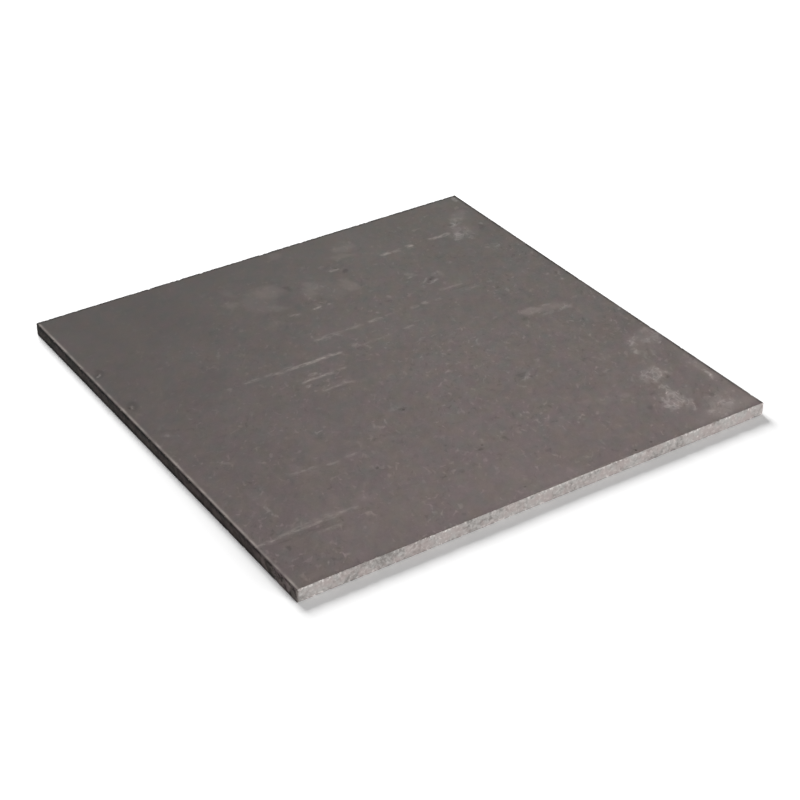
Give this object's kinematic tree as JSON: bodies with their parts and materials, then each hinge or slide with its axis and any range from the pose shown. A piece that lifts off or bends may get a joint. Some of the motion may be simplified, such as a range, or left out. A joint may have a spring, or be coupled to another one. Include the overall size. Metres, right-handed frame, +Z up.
{
  "type": "carbon plate",
  "caption": "Square flat plate of moulded carbon with ground faces, two sawn sides and lightly chipped edges, to lie flat, carry a load or be machined.",
  "frame": {"origin": "middle of the underside, on the surface that the plate lies on", "axes": "+Z up through the thickness, +X along the chipped front side, +Y from the front side to the back side"},
  "size_m": [0.3, 0.3, 0.008],
  "materials": {
    "carbon": "matte warm grey, ground on the faces and the left and right sides, sawn on the front and back sides"
  },
  "bodies": {
    "root": {"carbon_plate": "carbon"}
  },
  "joints": []
}
